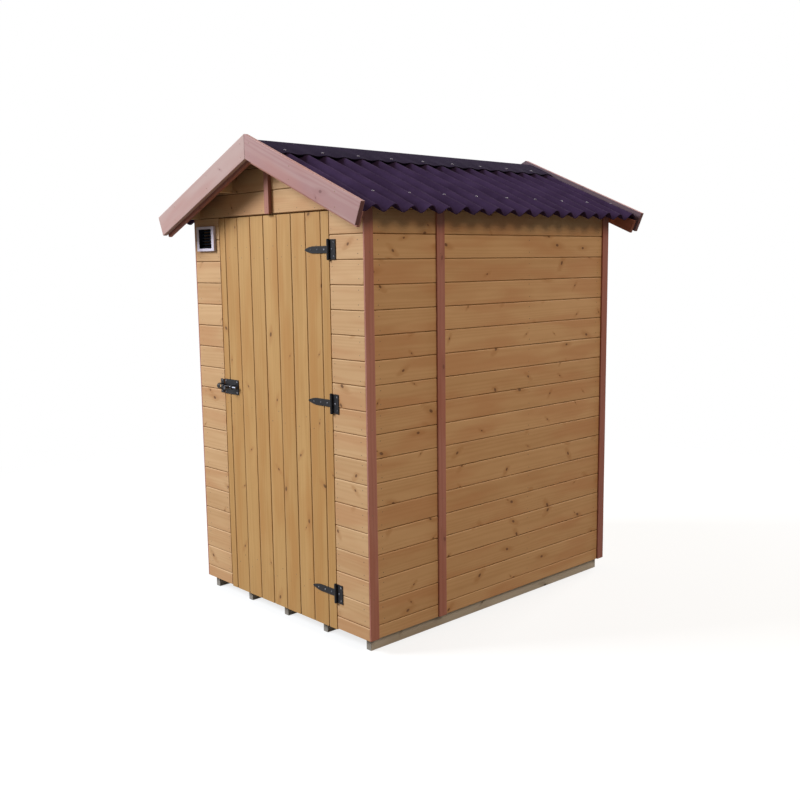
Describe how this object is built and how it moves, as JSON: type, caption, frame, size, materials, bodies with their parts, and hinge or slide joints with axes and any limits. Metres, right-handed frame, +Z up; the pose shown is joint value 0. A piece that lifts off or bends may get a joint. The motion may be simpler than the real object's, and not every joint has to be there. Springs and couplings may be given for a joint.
{
  "type": "wooden outhouse",
  "caption": "Timber outhouse on bearers with tongue-and-groove cladding, a hinged ledged door with a sliding bolt, a wall vent and a corrugated gable roof.",
  "frame": {"origin": "on the ground under the bearers, at the middle of the roof's outline", "axes": "+Z up, -Y out of the door, +X to the right of someone who faces the door"},
  "size_m": [1.407, 1.763, 2.0296],
  "materials": {
    "cladding": "satin honey stain",
    "door_boards": "satin honey stain",
    "bare_timber": "planed, bare",
    "bearer_timber": "pressure treated, weathered",
    "trim": "satin red-brown stain",
    "bargeboard": "satin red-brown stain",
    "roof_sheet": "matt bitumen sheet",
    "ridge_cap": "matt bitumen sheet",
    "vent_frame": "satin",
    "vent_louvres": "satin",
    "black_iron": "satin black",
    "bolt_steel": "zinc plated"
  },
  "bodies": {
    "house": {"bearers": "bearer_timber", "floor_boards": "bare_timber", "front_panel_left": "cladding", "front_panel_right": "cladding", "front_gable": "cladding", "back_wall": "cladding", "back_gable": "cladding", "left_wall_front": "cladding", "left_wall_rear": "cladding", "right_wall_front": "cladding", "right_wall_rear": "cladding", "front_posts": "bare_timber", "back_posts": "bare_timber", "left_posts": "bare_timber", "right_posts": "bare_timber", "gable_rails": "bare_timber", "door_stops": "bare_timber", "eave_plate_left": "bare_timber", "eave_plate_right": "bare_timber", "purlins": "bare_timber", "ridge_beam": "bare_timber", "roof_sheet_left": "roof_sheet", "roof_sheet_right": "roof_sheet", "ridge_cap": "ridge_cap", "bargeboard_front_left": "bargeboard", "bargeboard_front_right": "bargeboard", "bargeboard_rear_left": "bargeboard", "bargeboard_rear_right": "bargeboard", "barge_battens_left": "trim", "barge_battens_right": "trim", "left_trims": "trim", "right_trims": "trim", "gable_batten_front": "trim", "gable_batten_rear": "trim", "vent_frame": "vent_frame", "vent_louvres": "vent_louvres", "latch_keeper": "black_iron", "hinge_plates": "black_iron", "hinge_pins": "black_iron"},
    "door": {"door_leaf": "door_boards", "door_ledges": "door_boards", "door_braces": "door_boards", "hinge_straps": "black_iron", "latch_plate": "black_iron"},
    "bolt": {"latch_bolt": "bolt_steel"}
  },
  "joints": [
    {"name": "door_hinge", "type": "hinge", "parent": "house", "child": "door", "pos_m": [0.381, -0.774, 0.972], "axis": [0, 0, 1], "range_deg": [0, 110]},
    {"name": "latch_slide", "type": "slide", "parent": "door", "child": "bolt", "axis": [-1, 0, 0], "range_m": [0, 0.03]}
  ]
}
